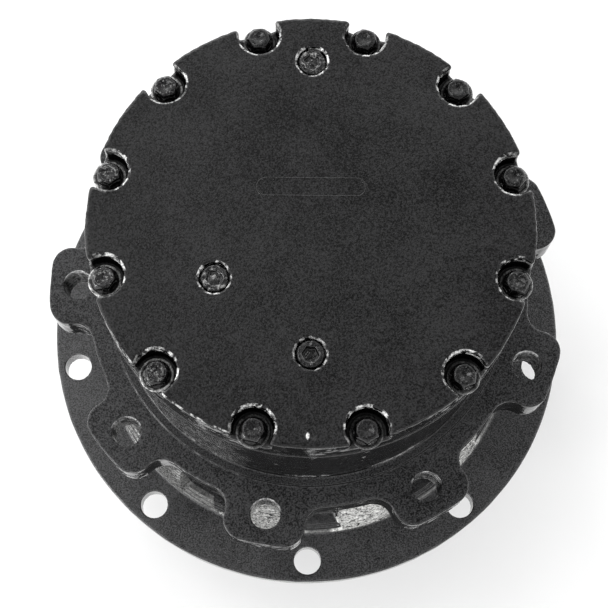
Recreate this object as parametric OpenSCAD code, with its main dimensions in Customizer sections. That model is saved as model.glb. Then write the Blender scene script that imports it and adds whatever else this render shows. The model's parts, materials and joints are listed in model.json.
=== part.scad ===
// Hydraulic drive motor: a fixed frame flange with a hollow spindle, a hub
// that turns on it with a lobed sprocket flange, and a bolted end cover.
// Inside: rotor motor, parking brake, two planetary gear stages.
// Millimetres. Origin: centre of the frame mounting face on the turning axis,
// +Z towards the end cover.

/* [Frame flange] */
// Outer diameter of the frame flange
frame_d = 340; // [336:1:350]
// Thickness of the frame flange
frame_t = 15; // [13:0.5:16]
// Pitch circle of the frame flange holes
frame_pcd = 313; // [308:1:316]
// Diameter of the frame flange holes
frame_hole_d = 17.5; // [13:0.5:18]
// Number of frame flange holes
frame_holes = 9; // [6:1:12]
// Diameter of the locating spigot under the frame flange
spigot_d = 240; // [220:1:260]

/* [Boss between the flanges] */
// Radius of the boss where it meets the frame flange
boss_r1 = 138.5; // [136:0.5:140]
// Radius of the boss at its upper edge
boss_r2 = 131.5; // [129:0.5:134]
// Height of the upper edge of the boss
boss_top = 87; // [84:0.5:88]
// Radius of the back wall of the boss pockets
pocket_r = 125.5; // [125:0.5:129]
// Width of each boss pocket, in degrees
pocket_angle = 15.5; // [10:0.5:20]

/* [Sprocket flange] */
// Radius of the flange between the lobes
lobe_base_r = 134.3; // [130:0.5:138]
// Radius of the flange at the lobe tips
lobe_tip_r = 159; // [155:0.5:162]
// Radius of the rounded lobe corners
lobe_corner_r = 12; // [8:0.5:12]
// Height of the underside of the sprocket flange
lobe_z = 90.2; // [89:0.2:94]
// Thickness of the sprocket flange
lobe_t = 26; // [22:0.5:27]
// Number of lobes, one bolt hole in each
lobes = 9; // [9:1:9]
// Pitch circle of the sprocket bolt holes
lobe_pcd = 280.8; // [276:0.2:284]
// Diameter of the sprocket bolt holes
lobe_hole_d = 17.5; // [13:0.5:18]

/* [Cover] */
// Diameter of the end cover
cover_d = 238.5; // [236:0.5:242]
// Height of the joint between hub and cover
cover_z = 211; // [211:0.5:214]
// Height of the top of the cover
cover_top = 237.9; // [236:0.1:240]
// Number of cover bolts
cover_bolt_n = 12; // [8:1:12]
// Radius of the circle of cover bolts
cover_bolt_r = 112.6; // [112:0.1:113.5]
// Diameter of the bolt pockets in the cover
bolt_pocket_d = 22.3; // [20:0.1:23]
// Height of the floor of the bolt pockets
bolt_floor = 225; // [223:0.5:227]
// Width across flats of the cover bolt heads
bolt_af = 12; // [10:0.5:13]

/* [Gears] */
// Module of both gear stages
gear_m = 3; // [3:0.01:3.02]
// Teeth of the ring gear
ring_teeth = 60; // [60:1:60]
// Teeth of the output sun gear
out_sun_teeth = 18; // [18:1:18]
// Teeth of the input sun gear
in_sun_teeth = 12; // [12:1:12]
// Tooth thinning for backlash
backlash = 0.3; // [0.2:0.05:0.4]

/* [Rotor motor] */
// Teeth of the inner rotor; the outer rotor has one more
rotor_teeth = 6; // [6:1:6]
// Offset of the outer rotor from the shaft
rotor_e = 4; // [3.5:0.1:4]
// Circle on which the tooth arcs of the outer rotor are centred
rotor_g = 50; // [49:0.5:51]
// Radius of the tooth arcs of the outer rotor
rotor_s = 12; // [11.5:0.1:12.5]

/* [Hidden] */
$fn = 96;
e = 0.01;

paint = [0.19, 0.19, 0.2];
steel = [0.62, 0.63, 0.65];
dark_steel = [0.4, 0.41, 0.43];
bearing_steel = [0.75, 0.76, 0.78];
rubber = [0.07, 0.07, 0.08];
bronze = [0.72, 0.53, 0.3];
zinc = [0.7, 0.7, 0.68];

frame_r = frame_d / 2;
cover_r = cover_d / 2;
wall_r1 = 116.5;         // hub wall just above the sprocket flange
wall_r2 = 118.5;         // hub wall at the cover joint
hub_fillet = 4;
chamber_r = 72;          // rotor motor chamber
brake_r = 62;            // brake cylinder
seat_r = 75;             // spindle seat of the main bearings
hub_bore = 95;           // hub seat of the main bearings
ring_r = 104;            // hub seat of the ring gear
ball_r = 6;
ball_pitch = 85;
brg = [90, 118];         // heights of the two ball circles
brg_h = 10;              // half width of a bearing
ball_n = 24;
seal_z = 60;             // face of the floating seal
bolt_angle0 = 180 / cover_bolt_n;
ring_gear_z = [141, 206];
// height, radius and angle of the three socket plugs
plugs = [[93.4, 90], [58.6, 210.6], [70.1, 270]];
plug_floor = 229.4;

in_planet_teeth = (ring_teeth - in_sun_teeth) / 2;
out_planet_teeth = (ring_teeth - out_sun_teeth) / 2;
out_r = gear_m * (out_sun_teeth + out_planet_teeth) / 2;
in_r = gear_m * (in_sun_teeth + in_planet_teeth) / 2;
planet_at = [90, 210, 330];
out_z = [143.2, 168.8];
in_z = [182.3, 202.8];
out_pin_r = 12;
in_pin_r = 10;

shaft_ball_r = 5.5;
shaft_pitch = 26.75;
shaft_ball_z = -9.5;
cap_z = [-98, -58];
rotor_z = [-50, -28];
valve_z = -84;
spool_y = -36;
relief_y = 21;
drain_x = 17;            // drain port, clear of the block's screw heads

/* Helpers */

// A stack of coaxial cylinders: [radius, from, to]
module stack(steps) {
  union() for (s = steps) translate([0, 0, s[1]]) cylinder(r = s[0], h = s[2] - s[1]);
}

// Copies on a circle
module around(n, a0 = 0) {
  for (i = [0 : n - 1]) rotate([0, 0, a0 + i * 360 / n]) children();
}

// A ring turned from a profile of [radius, height] points
module turned(points) {
  rotate_extrude() polygon(points);
}

module torus(r, t, z) {
  translate([0, 0, z]) rotate_extrude() translate([r, 0]) circle(r = t, $fn = 48);
}

// Straight-sided spline profile
module spline2d(root, tip, n, w) {
  circle(r = root);
  for (i = [0 : n - 1]) rotate(i * 360 / n) translate([0, -w / 2]) square([tip, w]);
}

// Straight-sided box with rounded upright corners
module round_block(x0, y0, x1, y1, z0, z1, r) {
  union() {
    translate([x0 + r, y0, z0]) cube([x1 - x0 - 2 * r, y1 - y0, z1 - z0]);
    translate([x0, y0 + r, z0]) cube([x1 - x0, y1 - y0 - 2 * r, z1 - z0]);
    for (x = [x0 + r, x1 - r], y = [y0 + r, y1 - r])
      translate([x, y, z0]) cylinder(r = r, h = z1 - z0);
  }
}

module along_x(x, y, z) { translate([x, y, z]) rotate([0, 90, 0]) children(); }
module along_y(x, y, z) { translate([x, y, z]) rotate([-90, 0, 0]) children(); }

// Hexagonal prism by its width across flats
module hex(af, h) { cylinder(r = af / sqrt(3), h = h, $fn = 6); }

/* Gear teeth */

alpha = 20;
function inv(a) = tan(a) * 180 / PI - a;
function at_r(rb, r) = acos(min(1, rb / r));
// half angle of an involute tooth at radius r
function half_tooth(z, r, thin) =
  let (rp = gear_m * z / 2, rb = rp * cos(alpha))
  90 / z - thin / 2 / rp * 180 / PI + inv(alpha) - inv(at_r(rb, max(r, rb)));
function tooth_radii(z, low, high) =
  let (rp = gear_m * z / 2, rb = rp * cos(alpha), b = max(low, rb))
  [low, b + (low < rb ? 0 : 0.25 * (rp - b)), b + 0.5 * (rp - b), rp, (rp + high) / 2, high];
function tooth_ring(z, low, high, thin, a0) = [
  for (i = [0 : z - 1], side = [-1, 1])
    let (rs = tooth_radii(z, low, high), n = len(rs))
    for (k = [0 : n - 1])
      let (r = side < 0 ? rs[k] : rs[n - 1 - k],
           a = a0 + i * 360 / z + side * half_tooth(z, r, thin))
      [r * cos(a), r * sin(a)]
];

module gear2d(z, a0) {
  rp = gear_m * z / 2;
  polygon(tooth_ring(z, rp - 1.2 * gear_m, rp + 0.8 * gear_m, backlash, a0));
}

// tooth spaces of an internal gear, as one outline
module space2d(z, a0) {
  rp = gear_m * z / 2;
  polygon(tooth_ring(z, rp - 0.8 * gear_m, rp + 1.2 * gear_m, -backlash, a0));
}

// Phases that put every gear in mesh at rest, starting from the output sun
out_sun_a = 0;
function planet_from_sun(b, a_s, zs, zp) = b + 180 + (b - a_s) * zs / zp - 180 / zp;
ring_a = planet_at[0] + (planet_from_sun(planet_at[0], out_sun_a, out_sun_teeth, out_planet_teeth)
         - planet_at[0]) * out_planet_teeth / ring_teeth;
function planet_from_ring(b, zp) = b + (ring_a - b) * ring_teeth / zp;
in_sun_a = planet_at[0] - (planet_from_ring(planet_at[0], in_planet_teeth) - planet_at[0] - 180
           + 180 / in_planet_teeth) * in_planet_teeth / in_sun_teeth;

/* Rotor profile: the inside parallel of an epitrochoid */

function troch(t) = [rotor_g * cos(t) - rotor_e * cos((rotor_teeth + 1) * t),
                     rotor_g * sin(t) - rotor_e * sin((rotor_teeth + 1) * t)];
function troch_dir(t) = let (d = troch(t + 0.05) - troch(t - 0.05)) d / norm(d);
function rotor_point(t, s) = let (p = troch(t), d = troch_dir(t)) p - s * [d[1], -d[0]];

/* 2-D outline of the lobed flange, from arcs that run into each other */

lobe_c = lobe_tip_r - lobe_corner_r;          // corner centre, from the axis
lobe_f = lobe_base_r + lobe_corner_r;         // valley fillet centre
lobe_half = acos((lobe_c * lobe_c + lobe_f * lobe_f - 4 * lobe_corner_r * lobe_corner_r)
                 / (2 * lobe_c * lobe_f));    // between those two centres
valley_a = 14.2;                              // direction of the fillet centre
corner_a = valley_a - lobe_half;
function pol(r, a) = [r * cos(a), r * sin(a)];
lobe_steps = 7;
// direction angles, seen from an arc's centre, of the join and the ends
join_a = let (d = pol(lobe_f, valley_a) - pol(lobe_c, corner_a)) atan2(d[1], d[0]);
function half_lobe(s) = concat(
  [for (k = [0 : 2]) pol(lobe_tip_r, s * corner_a * k / 3)],
  [for (k = [0 : lobe_steps]) let (a = corner_a + (join_a - corner_a) * k / lobe_steps,
     p = pol(lobe_c, corner_a) + pol(lobe_corner_r, a)) [p[0], s * p[1]]],
  [for (k = [1 : lobe_steps]) let (a0 = join_a + 180, a1 = 180 + valley_a,
     a = a0 + (a1 - a0) * k / lobe_steps,
     p = pol(lobe_f, valley_a) + pol(lobe_corner_r, a)) [p[0], s * p[1]]]);

module lobe2d() {
  right = half_lobe(-1);
  left = half_lobe(1);
  n = len(right);
  polygon(concat([[0, 0]], [for (i = [n - 1 : -1 : 1]) right[i]], left));
}

/* ---- Fixed casting and what is bolted to it ---- */

module frame_housing() {
  color(paint) difference() {
    turned([[chamber_r, -58], [97, -58], [98, -57], [100, -10], [spigot_d / 2 - 1, -10],
      [spigot_d / 2, -9], [spigot_d / 2, 0], [frame_r - 1, 0], [frame_r, 1],
      [frame_r, frame_t - 1.2], [frame_r - 1.2, frame_t], [boss_r1, frame_t],
      [boss_r2, boss_top - 2], [boss_r2 - 2, boss_top], [122.5, boss_top], [122.5, 58],
      [113, 58], [113, 40], [88, 40], [88, brg[0] - brg_h], [seat_r, brg[0] - brg_h],
      [seat_r, 130], [brake_r, 130], [brake_r, 68.5], [63.5, 68.5], [63.5, 66.2],
      [brake_r, 66.2], [brake_r, 40], [58, 40], [58, 11], [36, 11], [36, -18],
      [30, -18], [30, -20], [chamber_r, -20]]);
    // frame bolt holes
    around(frame_holes, 270.5) translate([frame_pcd / 2, 0, -e])
      cylinder(d = frame_hole_d, h = frame_t + 2 * e);
    // twelve cast pockets with a stepped lip at the foot
    for (k = [0 : 11]) rotate([0, 0, 234 + 30 * k])
      rotate_extrude(angle = pocket_angle) polygon([[pocket_r, frame_t + 6],
        [134, frame_t + 6], [134, frame_t + 4], [136.3, frame_t + 4],
        [136.3, frame_t + 2], [150, frame_t + 2], [150, boss_top + 1], [pocket_r, boss_top + 1]]);
    // tapped holes for the port block and the planet carrier
    around(8, 0) translate([85, 0, -58 - e]) cylinder(r = 5.05, h = 24);
    for (b = [30, 150, 270], d = [-22, 0, 22]) rotate([0, 0, b + d])
      translate([68.5, 0, 110]) cylinder(r = 4.05, h = 21);
    // slots for the lugs of the brake plates
    around(6, 0) translate([50, -4, 10.5]) cube([11.5, 8, 30]);
    // brake release line: port in the side, inclined and upright drillings
    rotate([0, 0, 22.5]) {
      translate([86, 0, -27]) rotate([0, 90, 0]) cylinder(r = 4.3, h = 20);
      translate([87, 0, -27]) rotate([0, -56.14, 0]) cylinder(r = 1.3, h = 32.27);
      translate([60.2, 0, -12]) cylinder(r = 1.6, h = 53);
    }
  }
}

module end_cap() {
  color(paint) difference() {
    union() {
      translate([0, 0, -70]) cylinder(r = 98, h = 12);
      round_block(-74, -84, 74, 54, cap_z[0], -65, 12);
    }
    // bolt holes and the space for their heads
    around(8, 0) translate([85, 0, -72]) cylinder(r = 5.5, h = 15);
    around(8, 0) translate([85, 0, cap_z[0] - e]) cylinder(r = 9.2, h = 28);
    // seal groove and recess for the shaft end
    rotate_extrude() translate([75.2, -60.2]) square([3.6, 3]);
    // two work ports, spot faces and their passages
    for (x = [-30, 30]) {
      along_y(x, -84 - e, valve_z) cylinder(r = 9.6, h = 22);
      along_y(x, -84 - e, valve_z) cylinder(r = 13.5, h = 1);
    }
    along_y(-30, -63, valve_z) cylinder(r = 4, h = 27);
    along_y(30, -63, valve_z) cylinder(r = 4, h = 99);
    translate([-30, spool_y, valve_z]) cylinder(r = 4, h = 27);
    translate([30, 36, valve_z]) cylinder(r = 4, h = 27);
    // drain port
    along_y(drain_x, 38, valve_z) cylinder(r = 6.6, h = 17);
    along_y(drain_x, -1, valve_z) cylinder(r = 3, h = 40);
    translate([drain_x, 0, valve_z]) cylinder(r = 2.5, h = 27);
    // valve bore, wider at both ends for its plugs
    along_x(-74 - e, spool_y, valve_z) cylinder(r = 9, h = 148 + 2 * e);
    for (m = [0, 1]) mirror([m, 0, 0]) {
      along_x(58, spool_y, valve_z) cylinder(r = 12.05, h = 17);
      along_x(40, relief_y, valve_z) cylinder(r = 7.05, h = 35);
    }
  }
}

module end_cap_bolts() {
  color(zinc) around(8, 0) translate([85, 0, 0]) difference() {
    stack([[8, -80, -70], [5, -71, -37]]);
    translate([0, 0, -80 - e]) hex(8, 6);
  }
}

module end_cap_seal() { color(rubber) torus(77, 1.05, -59.1); }

module relief_valves() {
  color(zinc) for (m = [0, 1]) mirror([m, 0, 0]) union() {
    along_x(42, relief_y, valve_z) cylinder(r = 7, h = 32.1);
    along_x(74.1, relief_y, valve_z) cylinder(r = 11.5, h = 1.6);
    along_x(75.6, relief_y, valve_z) rotate([0, 0, 30]) hex(19, 10);
    along_x(85.5, relief_y, valve_z) cylinder(r = 5, h = 5);
  }
}

module spool_plugs() {
  color(zinc) for (m = [0, 1]) mirror([m, 0, 0]) difference() {
    union() {
      along_x(61, spool_y, valve_z) cylinder(r = 12, h = 13.1);
      along_x(74.1, spool_y, valve_z) cylinder(r = 13.6, h = 2);
      along_x(76, spool_y, valve_z) rotate([0, 0, 30]) hex(22, 9);
    }
    along_x(60, spool_y, valve_z) cylinder(r = 7.5, h = 14);
  }
}

// Coil springs on both ends of the valve spool, wound on a round path
spring_turns = 6;
spring_n = 16;
function coil(i, x0, x1, r) = let (t = i / (spring_turns * spring_n), a = 360 * t * spring_turns)
  [x0 + (x1 - x0) * t, r * cos(a), r * sin(a)];
module coil_spring(x0, x1, r, w) {
  sides = 6;
  n = spring_turns * spring_n;
  pts = [for (i = [0 : n], k = [0 : sides - 1])
    let (c = coil(i, x0, x1, r), a = 360 * i / spring_n, b = 360 * k / sides)
    [c[0] + w * sin(b), c[1] + w * cos(b) * cos(a), c[2] + w * cos(b) * sin(a)]];
  faces = concat(
    [[for (k = [0 : sides - 1]) k]],
    [for (i = [0 : n - 1], k = [0 : sides - 1]) let (k2 = (k + 1) % sides)
      [i * sides + k, (i + 1) * sides + k, (i + 1) * sides + k2, i * sides + k2]],
    [[for (k = [sides - 1 : -1 : 0]) n * sides + k]]);
  polyhedron(points = pts, faces = faces, convexity = 6);
}
module spool_springs() {
  color(steel) for (m = [0, 1]) mirror([m, 0, 0])
    translate([0, spool_y, valve_z]) coil_spring(32.5, 71.5, 5.4, 1.1);
}

module valve_spool() {
  color(bearing_steel) along_x(0, spool_y, valve_z) difference() {
    translate([0, 0, -30]) cylinder(r = 8.93, h = 60);
    for (z = [-22, -5, 12]) translate([0, 0, z]) difference() {
      cylinder(r = 10, h = 10);
      translate([0, 0, -1]) cylinder(r = 6, h = 12);
    }
  }
}

/* ---- Rotor motor ---- */

module kidneys(r0, r1, z0, z1) {
  for (a = [35, 215]) rotate([0, 0, a]) translate([0, 0, z0])
    rotate_extrude(angle = 110) translate([r0, 0]) square([r1 - r0, z1 - z0]);
}

module port_plate() {
  color(bronze) difference() {
    translate([0, 0, -58]) cylinder(r = chamber_r - 0.05, h = 8);
    translate([0, 0, -54]) cylinder(r = 22, h = 5);
    translate([drain_x, 0, -59]) cylinder(r = 2.5, h = 6);
    kidneys(35, 49, -59, -49);
  }
}

module eccentric_ring() {
  color(dark_steel) translate([0, 0, rotor_z[0]]) difference() {
    cylinder(r = chamber_r - 0.05, h = rotor_z[1] - rotor_z[0]);
    translate([-rotor_e, 0, -1]) cylinder(r = 58.15, h = 24);
  }
}

module outer_rotor() {
  color(steel) translate([-rotor_e, 0, rotor_z[0] + 0.1]) linear_extrude(21.8) difference() {
    circle(r = 58.05);
    difference() {
      circle(r = rotor_g + rotor_e - rotor_s + rotor_e + 0.4);
      for (k = [0 : rotor_teeth]) rotate(k * 360 / (rotor_teeth + 1))
        translate([rotor_g, 0]) circle(r = rotor_s - 0.18);
    }
  }
}

module inner_rotor() {
  color(steel) translate([0, 0, rotor_z[0] + 0.1]) linear_extrude(21.8) difference() {
    polygon([for (i = [0 : 167]) rotor_point(i * 360 / 168, rotor_s + 0.18)]);
    spline2d(15.2, 17.2, 8, 4.25);
  }
}

module pressure_plate() {
  color(bronze) difference() {
    translate([0, 0, -28]) cylinder(r = chamber_r - 0.05, h = 8);
    translate([0, 0, -29]) cylinder(r = 18, h = 10);
  }
}

module drive_shaft() {
  color(steel) union() {
    translate([0, 0, -53]) linear_extrude(25) spline2d(15, 17, 8, 4);
    stack([[16.5, -28.2, -18], [17.5, -18.1, 11.1], [15, 34, 182.4], [9, 203, 205]]);
    translate([0, 0, 11]) linear_extrude(23.1) spline2d(19.5, 21.5, 12, 4);
    translate([0, 0, 182.3]) linear_extrude(20.8) spline2d(9, 10.5, 6, 4);
  }
}

module shaft_groove() { torus(shaft_pitch, shaft_ball_r + 0.15, shaft_ball_z); }
module shaft_bearing_inner() {
  color(bearing_steel) difference() {
    turned([[17.5, -18], [23.5, -18], [23.5, -1], [17.5, -1]]);
    shaft_groove();
  }
}
module shaft_bearing_outer() {
  color(bearing_steel) difference() {
    turned([[30, -18], [35.95, -18], [35.95, -1], [30, -1]]);
    shaft_groove();
  }
}
module shaft_bearing_balls() {
  color(bearing_steel) around(9, 0)
    translate([shaft_pitch, 0, shaft_ball_z]) sphere(r = shaft_ball_r, $fn = 32);
}
module shaft_seal() {
  color(rubber) turned([[17.6, 3.4], [19.5, 2.2], [22, 2.2], [22, 7.2], [33.5, 7.2], [33.5, 0],
    [35.95, 0], [35.95, 9], [20, 9], [20, 4.6]]);
}

/* ---- Parking brake ---- */

module friction_discs() {
  color(bronze) for (j = [0 : 3]) translate([0, 0, 13.8 + 4.8 * j]) linear_extrude(2)
    difference() { circle(r = 52); spline2d(19.65, 21.65, 12, 4.2); }
}
module brake_plates() {
  color(dark_steel) for (j = [0 : 4]) translate([0, 0, 11.4 + 4.8 * j]) linear_extrude(2)
    difference() {
      union() {
        circle(r = 57.6);
        for (k = [0 : 5]) rotate(60 * k) translate([50, -3.6]) square([11, 7.2]);
      }
      circle(r = 25);
    }
}
module brake_piston() {
  color(steel) turned([[30, 33], [50, 33], [50, 42], [61.93, 42], [61.93, 45.4], [59.2, 45.4],
    [59.2, 48.6], [61.93, 48.6], [61.93, 52], [34, 52], [30, 48]]);
}
module piston_seals() { color(rubber) torus(60.55, 1.34, 47); }
module brake_springs() {
  color(dark_steel) turned([[38, 52.1], [41, 52.1], [58.5, 57.9], [58.5, 60], [55.5, 60], [38, 54.2]]);
}
module brake_cap() {
  color(steel) turned([[24, 60.1], [61.9, 60.1], [61.9, 66.1], [24, 66.1]]);
}
module retaining_rings() {
  color(dark_steel) {
    turned([[58.5, 66.3], [63.4, 66.3], [63.4, 68.4], [58.5, 68.4]]);
    for (a = planet_at) rotate([0, 0, a]) translate([out_r, 0, 0])
      turned([[11.05, 169.4], [15, 169.4], [15, 170.9], [11.05, 170.9]]);
  }
}

/* ---- Main bearings ---- */

module race_groove(z) { torus(ball_pitch, ball_r + 0.3, z); }
module inner_race(z) {
  difference() {
    turned([[seat_r, z - brg_h], [81.5, z - brg_h], [81.5, z + brg_h], [seat_r, z + brg_h]]);
    race_groove(z);
  }
}
module outer_race(z) {
  difference() {
    turned([[88.5, z - brg_h], [hub_bore, z - brg_h], [hub_bore, z + brg_h], [88.5, z + brg_h]]);
    race_groove(z);
  }
}
module cage(z) {
  difference() {
    turned([[82.7, z - 7], [87.3, z - 7], [87.3, z + 7], [82.7, z + 7]]);
    around(ball_n) translate([ball_pitch, 0, z]) sphere(r = ball_r + 0.2, $fn = 32);
  }
}
module balls(z) {
  around(ball_n) translate([ball_pitch, 0, z]) sphere(r = ball_r, $fn = 32);
}
module lower_inner_race() { color(bearing_steel) inner_race(brg[0]); }
module upper_inner_race() { color(bearing_steel) inner_race(brg[1]); }
module lower_outer_race() { color(bearing_steel) outer_race(brg[0]); }
module upper_outer_race() { color(bearing_steel) outer_race(brg[1]); }
module lower_cage() { color(bronze) cage(brg[0]); }
module upper_cage() { color(bronze) cage(brg[1]); }
module lower_balls() { color(bearing_steel) balls(brg[0]); }
module upper_balls() { color(bearing_steel) balls(brg[1]); }
module bearing_shim() {
  color(steel) turned([[75.1, 128], [82, 128], [82, 130], [75.1, 130]]);
}

/* ---- Floating face seal, one half on each side ---- */

seal_ring = [[97, 0.1], [110, 0.1], [110, 4], [104.3, 5], [103.8, 16], [97, 16]];
module seal_ring_fixed() {
  color(steel) translate([0, 0, seal_z]) mirror([0, 0, 1]) turned(seal_ring);
}
module seal_ring_turning() { color(steel) translate([0, 0, seal_z]) turned(seal_ring); }
module toric_ring_fixed() { color(rubber) torus(108.6, 4.1, seal_z - 11); }
module toric_ring_turning() { color(rubber) torus(108.6, 4.1, seal_z + 11); }

/* ---- Output stage: planets on fixed pins ---- */

module planet_carrier() {
  color(dark_steel) difference() {
    turned([[24, 130], [84, 130], [84, 141], [83, 142], [24, 142]]);
    for (a = planet_at) rotate([0, 0, a]) translate([out_r, 0, 129])
      cylinder(r = out_pin_r + 0.05, h = 14);
    for (b = [30, 150, 270], d = [-22, 0, 22]) rotate([0, 0, b + d]) {
      translate([68.5, 0, 129]) cylinder(r = 4.3, h = 14);
      translate([68.5, 0, 135]) cylinder(r = 7, h = 8);
    }
  }
}
module carrier_bolts() {
  color(dark_steel) for (b = [30, 150, 270], d = [-22, 0, 22]) rotate([0, 0, b + d])
    translate([68.5, 0, 0]) difference() {
      stack([[6.5, 135, 141.6], [4, 112, 135.1]]);
      translate([0, 0, 137.6]) hex(6, 5);
    }
}
module output_pins() {
  color(bearing_steel) for (a = planet_at) rotate([0, 0, a]) translate([out_r, 0, 0])
    stack([[out_pin_r, 130, 169.3], [11, 169.2, 171.1], [out_pin_r, 171, 172]]);
}
module planet(b, r, zp, z, pin_r) {
  translate([r * cos(b), r * sin(b), z[0]]) linear_extrude(z[1] - z[0]) difference() {
    gear2d(zp, planet_from_ring(b, zp));
    circle(r = pin_r + 0.08);
  }
}
module output_planet(i) {
  color(steel) planet(planet_at[i], out_r, out_planet_teeth, out_z, out_pin_r);
}
module output_planet_1() { output_planet(0); }
module output_planet_2() { output_planet(1); }
module output_planet_3() { output_planet(2); }
module output_sun() {
  color(steel) difference() {
    union() {
      translate([0, 0, 142.8]) linear_extrude(26.2) gear2d(out_sun_teeth, out_sun_a);
      translate([0, 0, 168.9]) linear_extrude(12.6) spline2d(20.5, 22.3, 8, 6);
    }
    translate([0, 0, 142]) cylinder(r = 17, h = 40);
  }
}

/* ---- Input stage: planets on a turning carrier ---- */

module input_carrier() {
  color(dark_steel) translate([0, 0, 173]) linear_extrude(8.5) difference() {
    circle(r = 84);
    spline2d(20.6, 22.4, 8, 6.2);
    for (a = planet_at) rotate(a) translate([in_r, 0]) circle(r = in_pin_r + 0.05);
    for (a = planet_at) rotate(a + 60) translate([52, 0]) circle(r = 14);
  }
}
module input_pins() {
  color(bearing_steel) for (a = planet_at) rotate([0, 0, a]) translate([in_r, 0, 0])
    stack([[in_pin_r, 173, 203.3], [12.5, 203.2, 205]]);
}
module input_planet(i) {
  color(steel) planet(planet_at[i], in_r, in_planet_teeth, in_z, in_pin_r);
}
module input_planet_1() { input_planet(0); }
module input_planet_2() { input_planet(1); }
module input_planet_3() { input_planet(2); }
module input_sun() {
  color(steel) translate([0, 0, 182.5]) linear_extrude(20.5) difference() {
    gear2d(in_sun_teeth, in_sun_a);
    spline2d(9.1, 10.6, 6, 4.2);
  }
}

/* ---- Turning hub and what it carries ---- */

module hub() {
  color(paint) difference() {
    union() {
      turned([[113, 60.5], [120.5, 60.5], [120.5, lobe_z + 1], [120.5, lobe_z + lobe_t - 1],
        [wall_r1, lobe_z + lobe_t - 1], [wall_r1, lobe_z + lobe_t + hub_fillet],
        [wall_r2, cover_z], [ring_r, cover_z],
        [ring_r, ring_gear_z[0]], [hub_bore, ring_gear_z[0]], [hub_bore, brg[1] - brg_h],
        [90, brg[1] - brg_h], [90, brg[0] + brg_h], [hub_bore, brg[0] + brg_h],
        [hub_bore, 77], [113, 77]]);
      translate([0, 0, lobe_z]) linear_extrude(lobe_t) difference() {
        union() {
          circle(r = lobe_base_r);
          for (i = [0 : lobes - 1]) rotate(20 + i * 360 / lobes) lobe2d();
        }
        circle(r = 116);
      }
      // fillet at the foot of the wall
      rotate_extrude() difference() {
        translate([116, lobe_z + lobe_t - 1]) square([hub_fillet + 0.5, hub_fillet + 1]);
        translate([wall_r1 + hub_fillet, lobe_z + lobe_t + hub_fillet]) circle(r = hub_fillet, $fn = 48);
      }
    }
    around(lobes, 20) translate([lobe_pcd / 2, 0, lobe_z - e]) cylinder(d = lobe_hole_d, h = lobe_t + 2 * e);
    around(cover_bolt_n, bolt_angle0) translate([cover_bolt_r, 0, cover_z - 18])
      cylinder(r = 4.05, h = 20);
    around(6, 0) translate([ring_r, 0, 180]) cylinder(r = 4.05, h = 40);
  }
}

module ring_gear() {
  color(steel) translate([0, 0, ring_gear_z[0]]) difference() {
    linear_extrude(ring_gear_z[1] - ring_gear_z[0]) difference() {
      circle(r = ring_r - 0.05);
      space2d(ring_teeth, ring_a);
    }
    around(6, 0) translate([ring_r, 0, 180 - ring_gear_z[0]]) cylinder(r = 4.05, h = 40);
  }
}
module ring_gear_pins() {
  color(bearing_steel) around(6, 0) translate([ring_r, 0, 180]) cylinder(r = 4, h = 26);
}

module slot2d(w, h) {
  union() {
    square([w - h, h], center = true);
    for (x = [-1, 1]) translate([x * (w - h) / 2, 0]) circle(d = h, $fn = 48);
  }
}

module cover() {
  color(paint) difference() {
    turned([[0, 226], [95, 226], [95, 206], [103.85, 206], [103.85, 207], [101.2, 207], [101.2, 210],
      [103.85, 210], [103.85, cover_z], [cover_r, cover_z], [cover_r, cover_top - 1.4],
      [cover_r - 1.4, cover_top], [0, cover_top]]);
    around(cover_bolt_n, bolt_angle0) translate([cover_bolt_r, 0, 0]) {
      translate([0, 0, cover_z - 1]) cylinder(r = 4.4, h = 20);
      translate([0, 0, bolt_floor]) cylinder(d = bolt_pocket_d, h = 20);
    }
    for (p = plugs) rotate([0, 0, p[1]]) translate([p[0], 0, 0]) {
      translate([0, 0, plug_floor]) cylinder(r = 8.2, h = 20);
      translate([0, 0, 216.5]) cylinder(r = 6, h = 20);
    }
    // seat of the thrust pad
    translate([0, 0, 224]) cylinder(r = 15.05, h = 4);
    // outline of the empty name slot
    translate([0, 20.5, cover_top - 0.5]) linear_extrude(1) difference() {
      slot2d(58.6, 10.8);
      slot2d(57, 9.2);
    }
  }
}

module cover_bolts() {
  color(dark_steel) around(cover_bolt_n, bolt_angle0) translate([cover_bolt_r, 0, 0]) union() {
    stack([[4, cover_z - 15, bolt_floor + 0.1], [8.5, bolt_floor, bolt_floor + 1.5]]);
    translate([0, 0, bolt_floor + 1.4]) cylinder(r1 = 8.1, r2 = 6.6, h = 1.2);
    intersection() {
      translate([0, 0, bolt_floor + 1]) hex(bolt_af, 8);
      translate([0, 0, bolt_floor + 1]) cylinder(r1 = bolt_af * 1.08, r2 = bolt_af * 0.42, h = 8);
    }
  }
}
module cover_seal() { color(rubber) torus(102.55, 1.28, 208.5); }
module socket_plugs() {
  color(dark_steel) for (p = plugs) rotate([0, 0, p[1]]) translate([p[0], 0, 0]) difference() {
    stack([[7.4, plug_floor + 0.6, cover_top - 0.3], [5.9, 218, plug_floor + 0.7]]);
    translate([0, 0, cover_top - 5.3]) hex(9, 6);
  }
}
module plug_seals() {
  color(bronze) for (p = plugs) rotate([0, 0, p[1]]) translate([p[0], 0, 0])
    turned([[6, plug_floor], [8.1, plug_floor], [8.1, plug_floor + 0.6], [6, plug_floor + 0.6]]);
}
module thrust_pad() { color(bearing_steel) stack([[15, 209.5, 228], [11, 205.4, 209.6]]); }

/* ---- One node at a time ---- */

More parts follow.
